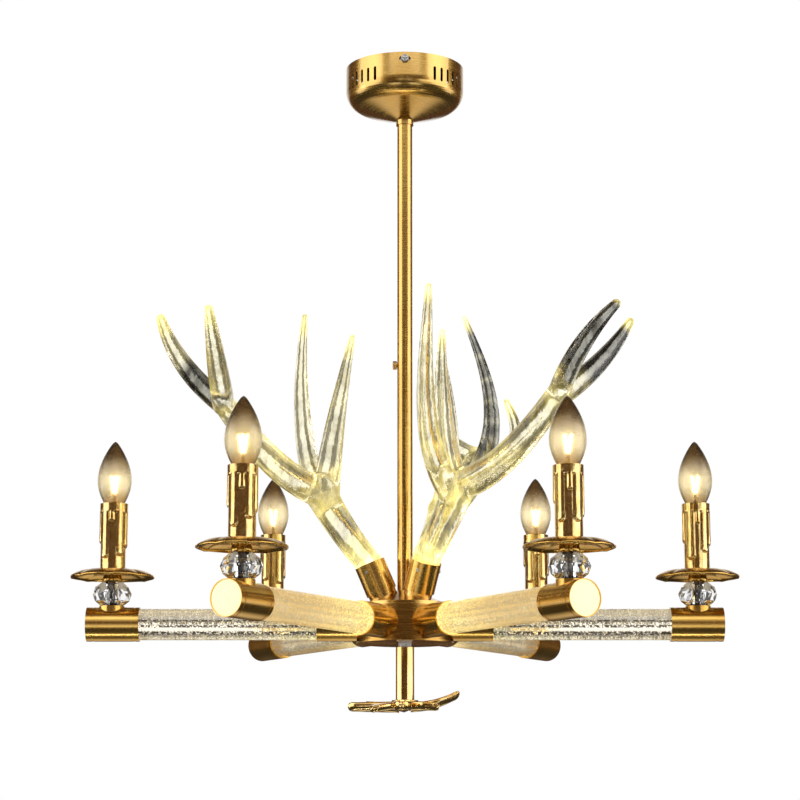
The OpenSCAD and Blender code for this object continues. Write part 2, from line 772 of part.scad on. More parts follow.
// Flame lamp: glass bulb over a screw base with its contact
module lamp(i) {
    neck_r = 9;
    widest = 0.39;
    tip_r = 0.8;
    function glass_r(u) = u < widest
        ? neck_r + (lamp_d / 2 - neck_r) * sin(90 * u / widest)
        : tip_r + (lamp_d / 2 - tip_r) * pow(cos(90 * (u - widest) / (1 - widest)), 0.85);
    on_candle(i) {
        color("gold") translate([0, 0, lamp_z]) rotate_extrude() polygon([
            [0, 0],
            for (k = [0:16]) [glass_r(k / 16), lamp_glass_l * k / 16],
            [0, lamp_glass_l],
        ]);
        color("silver") {
            translate([0, 0, lamp_z - lamp_base_l]) cylinder(h = lamp_base_l, r = lamp_base_d / 2);
            translate([0, 0, lamp_z - lamp_base_l - lamp_contact_l + slide_gap])
                cylinder(h = lamp_contact_l - slide_gap, r = lamp_base_d / 3);
        }
    }
}

module arm_rod_1() arm_rod(1);
module arm_rod_2() arm_rod(2);
module arm_rod_3() arm_rod(3);
module arm_rod_4() arm_rod(4);
module arm_rod_5() arm_rod(5);
module arm_rod_6() arm_rod(6);

module arm_cap_1() arm_cap(1);
module arm_cap_2() arm_cap(2);
module arm_cap_3() arm_cap(3);
module arm_cap_4() arm_cap(4);
module arm_cap_5() arm_cap(5);
module arm_cap_6() arm_cap(6);

module drip_pan_1() drip_pan(1);
module drip_pan_2() drip_pan(2);
module drip_pan_3() drip_pan(3);
module drip_pan_4() drip_pan(4);
module drip_pan_5() drip_pan(5);
module drip_pan_6() drip_pan(6);

module candle_sleeve_1() candle_sleeve(1);
module candle_sleeve_2() candle_sleeve(2);
module candle_sleeve_3() candle_sleeve(3);
module candle_sleeve_4() candle_sleeve(4);
module candle_sleeve_5() candle_sleeve(5);
module candle_sleeve_6() candle_sleeve(6);

module lamp_1() lamp(1);
module lamp_2() lamp(2);
module lamp_3() lamp(3);
module lamp_4() lamp(4);
module lamp_5() lamp(5);
module lamp_6() lamp(6);

ceiling_bracket();
hang_nuts();
hang_nipple();
led_driver();
terminal_block();
canopy();
canopy_collar();
canopy_screw_front();
canopy_screw_back();
stem_tube();
stem_screw();
hub_drum();
hub_cover();
hub_plate();
hub_nut();
finial_nipple();
finial_tube();
finial_ornament();
antler_cups();
antler_screws();
antler_leds();
antler_1();
antler_2();
antler_3();
arm_sockets();
arm_leds();
end_discs();
crystal_balls();
candle_rods();
lamp_holders();
arm_rod_1();
arm_rod_2();
arm_rod_3();
arm_rod_4();
arm_rod_5();
arm_rod_6();
arm_cap_1();
arm_cap_2();
arm_cap_3();
arm_cap_4();
arm_cap_5();
arm_cap_6();
drip_pan_1();
drip_pan_2();
drip_pan_3();
drip_pan_4();
drip_pan_5();
drip_pan_6();
candle_sleeve_1();
candle_sleeve_2();
candle_sleeve_3();
candle_sleeve_4();
candle_sleeve_5();
candle_sleeve_6();
lamp_1();
lamp_2();
lamp_3();
lamp_4();
lamp_5();
lamp_6();
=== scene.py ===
import math
import random

import bpy
from mathutils import Matrix, Vector, noise


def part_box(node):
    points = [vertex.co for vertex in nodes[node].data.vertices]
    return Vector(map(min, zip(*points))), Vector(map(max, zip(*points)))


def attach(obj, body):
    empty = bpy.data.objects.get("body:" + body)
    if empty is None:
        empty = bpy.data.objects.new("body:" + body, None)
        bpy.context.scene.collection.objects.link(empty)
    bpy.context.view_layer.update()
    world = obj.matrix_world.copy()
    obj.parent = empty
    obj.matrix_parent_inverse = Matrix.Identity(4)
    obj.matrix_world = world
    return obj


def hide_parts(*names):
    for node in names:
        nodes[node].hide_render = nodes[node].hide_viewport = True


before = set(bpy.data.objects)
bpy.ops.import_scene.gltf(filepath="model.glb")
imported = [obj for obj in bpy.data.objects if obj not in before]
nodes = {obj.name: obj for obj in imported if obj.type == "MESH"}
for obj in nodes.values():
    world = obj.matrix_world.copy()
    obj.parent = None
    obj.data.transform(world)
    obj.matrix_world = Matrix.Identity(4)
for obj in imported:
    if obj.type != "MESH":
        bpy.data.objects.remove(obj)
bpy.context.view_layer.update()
scene = bpy.context.scene

# Sizes in millimetres, as the CAD model has them.
MM = 0.001
ARM_Z = -591
ARMS = range(1, 7)
CANDLE_R = 300
ROD_START = 74
ROD_END = 287
ROD_R = 16
BALL_FOOT = ARM_Z + 18.5
BALL_H = 24.5
BALL_BORE_R = 5.1
PAN_FOOT = BALL_FOOT + BALL_H
PAN_R = 43
PAN_H = 12.5
SLEEVE_FOOT = PAN_FOOT + PAN_H
SLEEVE_TOP = ARM_Z + 124
SLEEVE_R = 13
LAMP_FOOT = SLEEVE_TOP - 2.5
LAMP_GLASS_L = 68
LAMP_R = 17.5
CUP_REACH = 24
CUP_RISE = 33
CUP_LEAN = 23
CUP_L = 31.5
FIRST_CUP_TURN = 186
CANOPY_SCREW_Z = -7.5
CANOPY_SCREW_SEAT = 62.8
STEM_SCREW_Z = ARM_Z + 270
FINIAL_FOOT = -667.5
LEAVES_Z = FINIAL_FOOT - 5

# How strongly each material bends light.
LACQUER_IOR = 1.65
ACRYLIC_IOR = 1.49
GLASS_IOR = 1.46
CRYSTAL_IOR = 1.56

# Light that each rod scatters: least at the sides, most in front.
SIDE_ROD_GLOW = 0.05
ROD_GLOW = {1: SIDE_ROD_GLOW, 2: 0.3, 3: 0.3, 4: SIDE_ROD_GLOW, 5: 0.52, 6: 0.52}

# Antler limbs in their cup's frame: the path's control points, then the radii.
ANTLER = [
    [[(0, 0, 0), (14, 0, 40), (19, 3, 85)], (14, 13.5, 17)],
    [[(16, 3, 84), (59, 24, 112), (80, 49, 203)], (16, 14.5, 11.5)],
    [[(80, 49, 200), (109, 31, 257), (108, 70, 303)], (11, 11, 5)],
    [[(81, 49, 198), (76, 100, 235), (66, 129, 283)], (11.5, 11.5, 4.5)],
    [[(19, 3, 70), (20, -60, 120), (0, -56, 190), (-44, -45, 272)], (13, 11, 3.5)],
    [[(19, 3, 75), (-13, -15, 135), (-74, 7, 224)], (15, 11.5, 3.5)],
]
BACK_ANTLER = [
    [[(0, 0, 0), (16, -3, 40), (24, -6, 85)], (14, 13.5, 17)],
    [[(18, -5, 75), (50, 0, 115), (93, -3, 193)], (15, 14, 11)],
    [[(93, -3, 193), (152, -44, 222), (118, -14, 279)], (10, 10, 4)],
    [[(90, 0, 190), (85, 50, 210), (92, 85, 290)], (11, 10, 3.5)],
    [[(22, -5, 75), (15, -67, 135), (5, -67, 190), (-47, -25, 281)], (14, 10.5, 3)],
    [[(22, -5, 75), (-10, -28, 140), (-71, -15, 226)], (14, 10, 3)],
]

# Leaves of the finial: turn, height, length, half width, rise, thickness, round tip.
LEAVES = [
    (180, -2.2, 52, 10, 0, 10, True),
    (0, -2.2, 49.5, 9, 13.4, 9, False),
    (222, -2, 40, 10, -4.3, 8, True),
    (150, -1, 40, 8.4, 2.2, 8, True),
    (322, -1.4, 37, 8.1, -2.2, 9, False),
    (262, -2.2, 25, 10, 0, 10, True),
    (80, -1, 28, 10, 2.2, 8, True),
    (35, -1, 42, 8.1, 5, 8, False),
]

# Runs of wax down a sleeve: degrees from the front, half width, length.
SLEEVE_RUNS = [
    (-36, 4.3, 51),
    (36, 4.3, 49),
    (0, 2.3, 19),
    (-95, 4.0, 34),
    (92, 4.2, 42),
    (148, 3.8, 26),
    (-150, 4.4, 45),
]

# Limbs with a painted dark core that stands for dark reflections, for each antler: the limb, then the
# range of tenths that gets it.
PAINTED_DARK_LIMBS = {1: [(2, 1, 5)], 2: [(2, 2, 10), (3, 4, 9)], 3: [(4, 4, 10), (2, 2, 6)]}


def make_camera():
    """Long lens in front, a little below the arms and tipped up."""
    data = bpy.data.cameras.new("camera")
    data.lens = 104.67
    data.sensor_width = 36
    data.clip_start = 0.05
    data.clip_end = 60
    camera = bpy.data.objects.new("camera", data)
    scene.collection.objects.link(camera)
    camera.location = (-0.0051, -2.380, -0.797)
    camera.rotation_euler = (math.radians(100.46), 0, 0)
    scene.camera = camera


class Graph:
    """Short calls that build one node tree."""

    def __init__(self, tree):
        self.tree = tree

    def add(self, kind, inputs=(), **settings):
        made = self.tree.nodes.new("ShaderNode" + kind)
        for key, value in settings.items():
            setattr(made, key, value)
        for key, value in dict(inputs).items():
            socket = made.inputs[key]
            if isinstance(value, bpy.types.NodeSocket):
                self.tree.links.new(value, socket)
            else:
                socket.default_value = value
        return made

    def math(self, operation, a, b=0.0, clamp=False):
        made = self.add("Math", {0: a, 1: b}, operation=operation, use_clamp=clamp)
        return made.outputs[0]

    def mix(self, factor, a, b):
        return self.add("Mix", {0: factor, 6: a, 7: b}, data_type="RGBA").outputs[2]

    def fit(self, value, low, high, to_low=0.0, to_high=1.0):
        """Value from one range to another, clamped at both ends."""
        made = self.add("MapRange", {0: value, 1: low, 2: high, 3: to_low, 4: to_high})
        return made.outputs[0]

    def stretch(self, vector, factors):
        made = self.add("VectorMath", {0: vector, 1: factors}, operation="MULTIPLY")
        return made.outputs[0]

    def noise(self, vector, scale, detail=2.0, roughness=0.5):
        made = self.add(
            "TexNoise",
            {"Vector": vector, "Scale": scale, "Detail": detail, "Roughness": roughness},
        )
        return made.outputs["Fac"]

    def cells(self, vector, scale):
        """Distance to the nearest cell centre."""
        made = self.add("TexVoronoi", {"Vector": vector, "Scale": scale})
        return made.outputs["Distance"]

    def bump(self, height, strength, distance):
        made = self.add("Bump", {"Strength": strength, "Distance": distance, "Height": height})
        return made.outputs["Normal"]


class Material(Graph):
    """A principled material; keyword values go on the shader's own sockets."""

    def __init__(self, name, **values):
        self.data = bpy.data.materials.new(name)
        self.data.use_nodes = True
        super().__init__(self.data.node_tree)
        self.shader = self.tree.nodes["Principled BSDF"]
        for key, value in values.items():
            self.shader.inputs[key.replace("_", " ")].default_value = value
        self.place = self.add("TexCoord").outputs["Object"]

    def drive(self, **links):
        for key, value in links.items():
            self.tree.links.new(value, self.shader.inputs[key.replace("_", " ")])


def along_stem(material):
    """Grain of a piece turned on an upright axis: it changes along Z."""
    return material.stretch(material.place, (30, 30, 2600))


def along_arm(material):
    """Grain of a piece turned on an arm's axis: it changes with the distance from the stem."""
    flat = material.stretch(material.place, (1, 1, 0))
    reach = material.add("VectorMath", {0: flat}, operation="LENGTH").outputs["Value"]
    height = material.add("SeparateXYZ", {0: material.place}).outputs["Z"]
    made = material.add(
        "CombineXYZ",
        {"X": material.math("MULTIPLY", reach, 2600), "Y": material.math("MULTIPLY", height, 30)},
    )
    return made.outputs[0]


def brushed_metal(name, light, dark, grain, low=0.15, high=0.3, anisotropic=0.5, share=0.55, coat=0.8):
    """Brushed metal under lacquer; share says how much its grain counts against its patches."""
    made = Material(
        name,
        Metallic=1.0,
        Anisotropic=anisotropic,
        Coat_Weight=coat,
        Coat_Roughness=0.12,
        Coat_IOR=LACQUER_IOR,
    )
    streaks = made.noise(grain(made), 1.0, 3.0, 0.65)
    patches = made.noise(made.place, 14.0, 3.0)
    streaky = made.math("MULTIPLY", streaks, share)
    patchy = made.math("MULTIPLY", patches, 1 - share)
    shade = made.math("ADD", streaky, patchy)
    made.drive(
        Base_Color=made.mix(made.fit(shade, 0.3, 0.7), dark, light),
        Roughness=made.fit(streaks, 0.3, 0.7, low, high),
        Normal=made.bump(streaks, 0.2 * share, 0.0003),
    )
    return made.data


def cast_gold(name, light, dark, size, depth, low=0.08, high=0.26, coat=0.8):
    """Polished metal with the soft unevenness of a casting or a dipped coat."""
    made = Material(name, Metallic=1.0, Coat_Weight=coat, Coat_Roughness=0.08, Coat_IOR=LACQUER_IOR)
    waves = made.noise(made.place, size, 3.0, 0.55)
    fine = made.noise(made.place, size * 9, 2.0)
    both = made.math("ADD", waves, made.math("MULTIPLY", fine, 0.2))
    made.drive(
        Base_Color=made.mix(made.fit(waves, 0.3, 0.7), dark, light),
        Roughness=made.fit(fine, 0.3, 0.7, low, high),
        Normal=made.bump(both, 0.35, depth),
    )
    return made.data


def steel(name, dark, light, low=0.22, high=0.42, metallic=1.0):
    """Fine-grained steel with faint stains."""
    made = Material(name, Metallic=metallic)
    grain = made.noise(made.place, 420.0, 3.0)
    stain = made.noise(made.place, 60.0, 2.0)
    made.drive(
        Base_Color=made.mix(made.fit(stain, 0.35, 0.7), dark, light),
        Roughness=made.fit(grain, 0.3, 0.7, low, high),
        Normal=made.bump(grain, 0.1, 0.0002),
    )
    return made.data


def plastic(name):
    """Moulded plastic of an even pale tone."""
    made = Material(name)
    grain = made.noise(made.place, 900.0, 2.0)
    tone = made.noise(made.place, 30.0, 2.0)
    made.drive(
        Base_Color=made.mix(tone, (0.82, 0.81, 0.77, 1), (0.74, 0.73, 0.69, 1)),
        Roughness=made.fit(grain, 0.3, 0.7, 0.38, 0.55),
        Normal=made.bump(grain, 0.15, 0.0001),
    )
    return made.data


def lit_plastic(name, colour, strength):
    """Frosted plastic lit from behind, faintly mottled."""
    made = Material(name, Base_Color=(0.35, 0.33, 0.26, 1))
    mottle = made.noise(made.place, 160.0, 3.0)
    grain = made.noise(made.place, 1400.0, 2.0)
    pale = tuple(min(1.0, c * 1.12) for c in colour[:3]) + (1,)
    made.drive(
        Emission_Color=made.mix(made.fit(mottle, 0.3, 0.7), colour, pale),
        Emission_Strength=made.fit(mottle, 0.2, 0.8, strength * 0.92, strength),
        Roughness=made.fit(grain, 0.3, 0.7, 0.35, 0.5),
        Normal=made.bump(grain, 0.1, 0.0001),
    )
    return made.data


def bubbled_acrylic(name, glow):
    """Clear rod with a painted glow for the light it scatters from its inner end; rows of air seeds lie
    along it, painted dark as shade.
    """
    lit = glow > SIDE_ROD_GLOW
    made = Material(name, IOR=ACRYLIC_IOR)
    flat = made.stretch(made.place, (1, 1, 0))
    reach = made.add("VectorMath", {0: flat}, operation="LENGTH").outputs["Value"]
    height = made.add("SeparateXYZ", {0: made.place}).outputs["Z"]
    share = made.math("DIVIDE", made.math("SUBTRACT", height, ARM_Z * MM), ROD_R * MM)
    dots = made.fit(made.cells(made.place, 480.0), 0.15, 0.45, 1.0, 0.0)

    # The upper half is thinly seeded, and three rows lie below it; the seeds there get painted dark shade,
    # fainter on the more lit rods.
    fine = made.fit(made.noise(made.place, 430.0, 1.0), 0.44, 0.5)
    rows = made.math("MULTIPLY", made.fit(share, 0.1, 0.2), made.fit(share, 0.72, 0.6, 0.0, 0.22))
    for middle, solid, faded in ((0.15, 0.04, 0.1), (-0.19, 0.05, 0.11), (-0.63, 0.09, 0.17)):
        off = made.math("ABSOLUTE", made.math("SUBTRACT", share, middle))
        rows = made.math("MAXIMUM", rows, made.fit(off, solid, faded, 1.0, 0.0))
    weight = min(1.0, 1.05 - 1.5 * glow)
    seeds = made.math("MULTIPLY", made.math("MULTIPLY", rows, fine), weight)
    clear = made.math("SUBTRACT", 1.0 - 0.5 * glow, seeds, clamp=True)

    # The painted glow of scattered light fades from the hub outwards and leaves out the seeds, which are
    # painted dark as shade.
    cloud = made.noise(made.stretch(made.place, (60, 60, 420)), 1.0, 3.0)
    near = made.math("POWER", made.fit(reach, 0.075, 0.2, 1.0, 0.0), 1.5)
    base_glow = 0.5 * glow if lit else 0.27
    warm = made.math("ADD", base_glow, made.math("MULTIPLY", near, 0.95 * glow + 0.04))
    mottle = made.math("MULTIPLY", dots, made.math("ADD", cloud, 0.35))
    speckle = made.math("ADD", 0.35, made.math("MULTIPLY", mottle, 2.0))
    unseeded = made.math("SUBTRACT", 1.0, seeds, clamp=True)
    far_colour = (1.0, 0.64, 0.2, 1) if lit else (1.0, 0.84, 0.55, 1)

    # Painted light: the base colour is warmer, and its brown dots stronger, on the rods given more glow.
    tint = made.mix(min(1.0, 2 * glow), (0.97, 0.95, 0.88, 1), (0.94, 0.84, 0.56, 1))
    glow_dots = made.math("MULTIPLY", dots, min(1.0, 0.25 + 2 * glow))
    glow_tinted_ground = made.mix(glow_dots, tint, (0.3, 0.2, 0.07, 1))
    relief = made.math("ADD", made.math("MULTIPLY", dots, 1.8), cloud)
    # Base colour: the seeds painted near black as shade, over the glow-tinted ground.
    made.drive(
        Base_Color=made.mix(seeds, glow_tinted_ground, (0.04, 0.025, 0.01, 1)),
        Transmission_Weight=clear,
        Emission_Strength=made.math("MULTIPLY", made.math("MULTIPLY", warm, speckle), unseeded),
        Emission_Color=made.mix(near, far_colour, (1.0, 0.88, 0.38, 1)),
        Roughness=made.fit(cloud, 0.35, 0.65, 0.0, 0.05),
        Normal=made.bump(relief, 0.1 + 0.4 * glow, 0.0005),
    )
    return made.data


def clear_acrylic(name):
    """Cast acrylic with wavy flow lines; attributes say where it is lit and where it gets a painted dark
    core for dark reflections.
    """
    made = Material(name, IOR=ACRYLIC_IOR, Transmission_Weight=1.0, Roughness=0.02)
    glow = made.add("Attribute", attribute_name="glow").outputs["Fac"]
    painted_dark = made.add("Attribute", attribute_name="painted_dark").outputs["Fac"]
    flow = made.noise(made.stretch(made.place, (90, 90, 26)), 1.0, 4.0, 0.6)
    veins = made.math("POWER", made.fit(flow, 0.42, 0.72), 2.0)
    light = made.math("MULTIPLY", glow, made.math("ADD", 0.42, made.math("MULTIPLY", veins, 1.7)))
    # Painted dark reflections: the marked limbs get a dark core that fades towards the edges.
    core = made.fit(made.add("LayerWeight", {"Blend": 0.5}).outputs["Facing"], 0.25, 0.75, 1.0, 0.0)
    uneven = made.fit(flow, 0.3, 0.55, 1.0, 0.55)
    dark = made.math("MULTIPLY", painted_dark, made.math("MULTIPLY", core, uneven))
    lit = made.mix(made.fit(glow, 0.05, 0.5), (0.9, 0.88, 0.76, 1), (0.95, 0.86, 0.5, 1))
    tint = made.mix(made.fit(flow, 0.5, 0.36, 0.0, 0.85), lit, (0.4, 0.37, 0.25, 1))
    made.drive(
        Base_Color=made.mix(dark, tint, (0.02, 0.02, 0.018, 1)),
        Emission_Strength=light,
        Emission_Color=made.mix(glow, (1.0, 0.8, 0.24, 1), (0.98, 0.9, 0.4, 1)),
        Normal=made.bump(flow, 0.3, 0.003),
    )
    return made.data


def glass(name, colour, ior, roughness=0.0):
    """Clear glass with a faint haze."""
    made = Material(name, IOR=ior, Transmission_Weight=1.0, Roughness=roughness)
    haze = made.noise(made.place, 90.0, 2.0)
    faint = tuple(c * 0.96 for c in colour[:3]) + (1,)
    made.drive(Base_Color=made.mix(haze, faint, colour))
    return made.data


def smoked_glass(name):
    """Lamp glass, hazy and warm, brownish at the neck and smoked brown towards the tip, with a faint
    painted glow around the filaments' height.
    """
    made = Material(name, IOR=GLASS_IOR, Transmission_Weight=1.0)
    height = made.add("SeparateXYZ", {0: made.place}).outputs["Z"]
    foot = LAMP_FOOT * MM
    haze = made.noise(made.place, 70.0, 2.0)
    drift = made.math("MULTIPLY", made.math("SUBTRACT", haze, 0.5), 0.012)
    level = made.math("ADD", height, drift)
    tip = made.fit(level, foot + 0.03, foot + 0.056)
    neck = made.fit(level, foot + 0.004, foot + 0.018, 1.0, 0.0)
    # Painted glow on the glass, in a band round the filaments' height.
    rising = made.fit(level, foot + 0.008, foot + 0.026)
    falling = made.fit(level, foot + 0.05, foot + 0.032)
    painted_glow_band = made.math("MULTIPLY", rising, falling)
    body = made.mix(made.math("MULTIPLY", neck, 0.7), (0.96, 0.88, 0.68, 1), (0.7, 0.48, 0.22, 1))
    made.drive(
        Base_Color=made.mix(tip, body, (0.34, 0.24, 0.13, 1)),
        Emission_Color=made.mix(tip, (1.0, 0.84, 0.5, 1), (1.0, 0.6, 0.2, 1)),
        Emission_Strength=made.math("MULTIPLY", painted_glow_band, 0.06),
        Roughness=made.fit(haze, 0.3, 0.7, 0.2, 0.28),
    )
    return made.data


def filament_material(name):
    """Glowing strip with bright and less bright beads."""
    made = Material(name, Base_Color=(1.0, 0.8, 0.4, 1))
    beads = made.noise(made.place, 900.0, 2.0)
    made.drive(
        Emission_Color=made.mix(beads, (1.0, 0.62, 0.22, 1), (1.0, 0.78, 0.4, 1)),
        Emission_Strength=made.fit(beads, 0.3, 0.7, 9.0, 14.0),
    )
    return made.data


class Build:
    """Collects vertices and faces in millimetres, then makes one object."""

    def __init__(self):
        self.verts = []
        self.faces = []

    def add(self, verts, faces, place=Matrix()):
        start = len(self.verts)
        self.verts += [place @ Vector(v) for v in verts]
        self.faces += [tuple(start + i for i in face) for face in faces]

    def rings(self, rings, place=Matrix(), loop=False):
        """Skin over rings of equal count; a ring of one point closes an end."""
        start = len(self.verts)
        heads = []
        for ring in rings:
            heads.append(len(self.verts) - start)
            self.verts += [place @ Vector(v) for v in ring]
        sides = max(len(ring) for ring in rings)
        pairs = list(zip(range(len(rings) - 1), range(1, len(rings))))
        if loop:
            pairs.append((len(rings) - 1, 0))
        for a, b in pairs:
            for k in range(sides):
                one, two = k, (k + 1) % sides
                if len(rings[a]) == 1:
                    face = (heads[a], heads[b] + two, heads[b] + one)
                elif len(rings[b]) == 1:
                    face = (heads[a] + one, heads[a] + two, heads[b])
                else:
                    face = (heads[a] + one, heads[a] + two, heads[b] + two, heads[b] + one)
                self.faces.append(tuple(start + i for i in face))

    def lathe(self, profile, sides=64, place=Matrix(), shape=None, loop=False):
        """Turns (radius, height) pairs, from below outwards and up; shape bends each point."""
        rings = []
        for r, z in profile:
            if r == 0:
                rings.append([(0, 0, z)])
                continue
            ring = []
            for k in range(sides):
                angle = 2 * math.pi * k / sides
                radius, height = shape(r, z, angle) if shape else (r, z)
                ring.append((radius * math.cos(angle), radius * math.sin(angle), height))
            rings.append(ring)
        self.rings(rings, place, loop)

    def make(self, name, body, material, replaces=(), smooth=35):
        data = bpy.data.meshes.new(name)
        data.from_pydata([v * MM for v in self.verts], [], self.faces)
        return finish_piece(data, name, body, material, replaces, smooth)


def finish_piece(data, name, body, material, replaces=(), smooth=35):
    data.validate()
    data.polygons.foreach_set("use_smooth", [smooth > 0] * len(data.polygons))
    if smooth:
        data.set_sharp_from_angle(angle=math.radians(smooth))
    data.materials.append(material)
    made = bpy.data.objects.new(name, data)
    scene.collection.objects.link(made)
    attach(made, body)
    if replaces:
        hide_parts(*replaces)
    return made


def turned(angle):
    """Turn about the stem's axis, in degrees."""
    return Matrix.Rotation(math.radians(angle), 4, "Z")


def candle_place(arm):
    """Frame on a candle's axis, at the ceiling's height."""
    return turned(60 * (arm - 1)) @ Matrix.Translation((CANDLE_R, 0, 0))


def arm_place(arm):
    """Frame with X along the arm's axis."""
    return turned(60 * (arm - 1)) @ Matrix.Translation((0, 0, ARM_Z))


def cup_place(cup):
    """Frame of an antler cup's mouth."""
    foot = Matrix.Translation((CUP_REACH, 0, ARM_Z + CUP_RISE))
    lean = Matrix.Rotation(math.radians(CUP_LEAN), 4, "Y")
    return turned(FIRST_CUP_TURN + 120 * (cup - 1)) @ foot @ lean @ Matrix.Translation((0, 0, CUP_L))


def bezier(points, t):
    """Point of the curve at t, from 0 at its start to 1 at its end."""
    while len(points) > 1:
        points = [a + (b - a) * t for a, b in zip(points, points[1:])]
    return points[0]


def on_limb(limb, t):
    """Point of a limb's middle line."""
    return bezier([Vector(p) for p in limb[0]], t)


def limb_rings(path, radii, seed):
    """Rings of a fluted limb that ends in a round tip."""
    steps, tip_steps = 26, 5
    sides = 28
    path = [Vector(p) for p in path]
    rings = []
    across = Vector((0, 1, 0))
    for i in range(steps + tip_steps):
        t = min(i / steps, 1)
        low, high = max(t - 0.01, 0), min(t + 0.01, 1)
        along = (bezier(path, high) - bezier(path, low)).normalized()
        across = (across - along * across.dot(along)).normalized()
        up = along.cross(across)
        centre = bezier(path, t)
        radius = bezier(radii, t)
        if i > steps:
            bend = math.radians(90 * (i - steps) / tip_steps)
            centre = centre + along * radius * math.sin(bend)
            radius *= math.cos(bend)
        ring = []
        for k in range(sides):
            phi = 2 * math.pi * k / sides
            flute = 0.045 * math.sin(3 * phi + 2.4 * t + seed) + 0.03 * math.sin(5 * phi - 3 * t + seed)
            reach = radius * (1 + flute)
            ring.append(centre + (across * math.cos(phi) + up * math.sin(phi)) * reach)
        rings.append(ring)
    tip = bezier(path, 1) + along * bezier(radii, 1)
    return [[path[0]]] + rings + [[tip]]


def grown_together(build, name):
    """Mesh of one closed skin round everything built, with its joins smoothed."""
    data = bpy.data.meshes.new(name + "_rough")
    data.from_pydata([v * MM for v in build.verts], [], build.faces)
    rough = bpy.data.objects.new(name + "_rough", data)
    scene.collection.objects.link(rough)
    remesh = rough.modifiers.new("remesh", "REMESH")
    remesh.mode = "VOXEL"
    remesh.voxel_size = 1.6 * MM
    smooth = rough.modifiers.new("smooth", "SMOOTH")
    smooth.factor = 0.5
    smooth.iterations = 6
    final = bpy.data.meshes.new_from_object(rough.evaluated_get(bpy.context.evaluated_depsgraph_get()))
    final.name = name
    bpy.data.objects.remove(rough)
    return final


def light_spots(limbs):
    """Where light gathers: at the lamp in the cup, where limbs join and at the tips."""
    spots = [
        (Vector((0, 0, 4)), 26, 1.0),
        (Vector((18, 2, 78)), 26, 0.6),
        (on_limb(limbs[2], 0), 15, 0.8),
        (on_limb(limbs[1], 0.5), 30, 0.35),
        (on_limb(limbs[4], 0.3), 12, 0.6),
        (on_limb(limbs[5], 0.22), 14, 0.6),
    ]
    return spots + [(on_limb(limb, 1), 20, 0.75) for limb in limbs[2:]]


def paint_antler(data, place, spots, painted_dark_spots):
    """Writes how lit each vertex is and how strong its painted dark core is; a spot has a centre, a size
    and a weight.
    """
    back = place.inverted()
    lit, dim = [], []
    for vertex in data.vertices:
        point = back @ (vertex.co / MM)
        value = 0.12
        for centre, size, weight in spots:
            value = max(value, weight * math.exp(-(((point - centre).length / size) ** 2)))
        # Painted dark core, strongest at each spot's centre.
        shade = 0.0
        for centre, size, weight in painted_dark_spots:
            shade = max(shade, min(1.0, weight * math.exp(-(((point - centre).length / size) ** 2))))
        lit.append(value * (1 - shade))
        dim.append(shade)
    for attribute, values in (("glow", lit), ("painted_dark", dim)):
        data.attributes.new(attribute, "FLOAT", "POINT").data.foreach_set("value", values)


def make_antler(cup, limbs, material):
    """Clear antler grown together from fluted limbs, on a round foot that fills its cup."""
    name = f"antler_{cup}_glass"
    place = cup_place(cup)
    build = Build()
    build.lathe([(0, -20), (14.1, -20), (14.1, 2), (0, 2)], 32, place)
    for index, (path, radii) in enumerate(limbs):
        build.rings(limb_rings(path, radii, 1.7 * index + cup), place)
    data = grown_together(build, name)
    # Spots along the marked limbs where the painted dark core lies.
    painted_dark_spots = [
        (on_limb(limbs[limb], tenth / 10), 12, 2.2)
        for limb, start, end in PAINTED_DARK_LIMBS[cup]
        for tenth in range(start, end)
    ]
    paint_antler(data, place, light_spots(limbs), painted_dark_spots)
    finish_piece(data, name, "frame", material, [f"antler_{cup}"], 60)


def make_pans(material):
    """Spun pans like shallow bells, pressed into eight petals under a rolled lip."""
    shoulder = 25

    def petals(r, z, angle):
        out = min(1.0, max(0.0, (r - 16) / (PAN_R - 18)))
        crease = (1 - abs(math.sin(4 * angle))) ** 2
        return r * (1 - 0.012 * out * crease), z - 0.9 * out * crease + 0.25 * math.sin(math.pi * out)

    def top(r):
        return PAN_H - 5.6 * (max(0.0, r - shoulder) / (PAN_R - shoulder)) ** 2

    neck = [(5, 0.05), (9.4, 0.05), (10, 0.6), (10, 4), (9.2, 7), (9.6, 9), (11.5, 10.4), (14, 10.8)]
    under = [(r, top(r) - 1.7) for r in (17, 20, 23, 26, 29, 32, 35, 38, 40)]
    lip = [(41.0, 5.8), (41.3, 4.9), (41.8, 4.5), (42.4, 4.5), (42.8, 4.8), (43, 5.6), (42.9, 6.5)]
    upper = [(r, top(r) - 0.25) for r in (42.2, 40, 37, 34, 31, 28, 25, 22, 19, 16, 13.2)]
    for arm in ARMS:
        place = candle_place(arm) @ Matrix.Translation((0, 0, PAN_FOOT))
        build = Build()
        build.lathe(neck + under + lip + upper + [(5, PAN_H - 0.25)], 128, place, petals, loop=True)
        build.make(f"drip_dish_{arm}", "frame", material, [f"drip_pan_{arm}"], 50)


